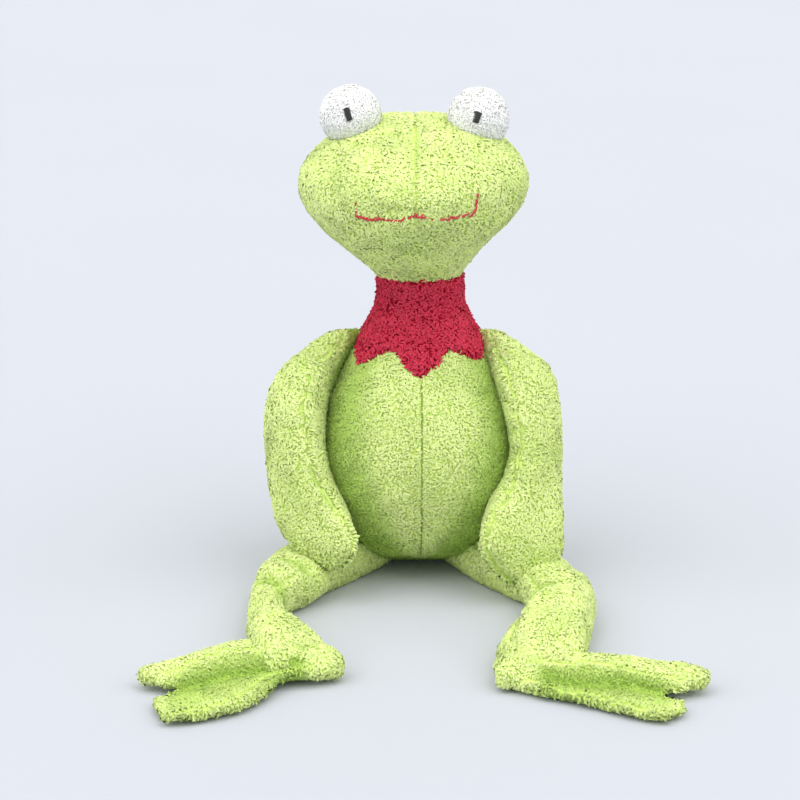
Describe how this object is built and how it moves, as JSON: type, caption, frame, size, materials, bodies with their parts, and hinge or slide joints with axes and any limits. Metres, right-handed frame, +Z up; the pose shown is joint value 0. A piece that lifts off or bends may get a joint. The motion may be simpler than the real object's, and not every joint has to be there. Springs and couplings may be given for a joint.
{
  "type": "plush frog",
  "caption": "Sitting stuffed frog of green looped terry cloth with a zigzag red neck, white ball eyes, floppy arms and flat webbed feet.",
  "frame": {"origin": "middle of the flat underside of the seat, on the surface that the frog sits on", "axes": "+Z up, -Y the way the frog faces, +X to the right of a viewer in front of it"},
  "size_m": [0.2614, 0.2314, 0.249],
  "materials": {
    "green_terry": "looped pile",
    "red_terry": "looped pile",
    "white_terry": "looped pile",
    "black_thread": "satin stitch",
    "red_thread": "satin stitch",
    "white_filling": "loose fibre"
  },
  "bodies": {
    "torso": {"torso_cover": "green_terry", "torso_filling": "white_filling", "neck_panel": "red_terry"},
    "head": {"head_cover": "green_terry", "head_filling": "white_filling", "eye_left": "white_terry", "eye_right": "white_terry", "pupil_left": "black_thread", "pupil_right": "black_thread", "mouth_thread": "red_thread"},
    "left_arm": {"arm_left": "green_terry"},
    "left_thigh": {"thigh_left": "green_terry"},
    "left_shin": {"shin_left": "green_terry"},
    "left_foot": {"foot_left": "green_terry"},
    "right_arm": {"arm_right": "green_terry"},
    "right_thigh": {"thigh_right": "green_terry"},
    "right_shin": {"shin_right": "green_terry"},
    "right_foot": {"foot_right": "green_terry"}
  },
  "joints": [
    {"name": "head_turn", "type": "hinge", "parent": "torso", "child": "head", "pos_m": [0, 0, 0.1535], "axis": [0, 0, 1], "range_deg": [-30, 30]},
    {"name": "left_arm_lift", "type": "hinge", "parent": "torso", "child": "left_arm", "pos_m": [-0.04, 0, 0.1185], "axis": [0, 1, 0], "range_deg": [0, 75]},
    {"name": "left_hip", "type": "hinge", "parent": "torso", "child": "left_thigh", "pos_m": [-0.037, -0.006, 0.013], "axis": [0, 0, -1], "range_deg": [0, 30]},
    {"name": "left_knee", "type": "hinge", "parent": "left_thigh", "child": "left_shin", "pos_m": [-0.067, -0.063, 0.013], "axis": [0, 0, -1], "range_deg": [-15, 45]},
    {"name": "left_ankle", "type": "hinge", "parent": "left_shin", "child": "left_foot", "pos_m": [-0.056, -0.137, 0.0115], "axis": [0, 0, 1], "range_deg": [-15, 45]},
    {"name": "right_arm_lift", "type": "hinge", "parent": "torso", "child": "right_arm", "pos_m": [0.04, 0, 0.1185], "axis": [0, -1, 0], "range_deg": [0, 75]},
    {"name": "right_hip", "type": "hinge", "parent": "torso", "child": "right_thigh", "pos_m": [0.037, -0.006, 0.013], "axis": [0, 0, 1], "range_deg": [0, 30]},
    {"name": "right_knee", "type": "hinge", "parent": "right_thigh", "child": "right_shin", "pos_m": [0.068, -0.067, 0.013], "axis": [0, 0, 1], "range_deg": [-15, 45]},
    {"name": "right_ankle", "type": "hinge", "parent": "right_shin", "child": "right_foot", "pos_m": [0.055, -0.143, 0.0115], "axis": [0, 0, -1], "range_deg": [-15, 45]}
  ]
}
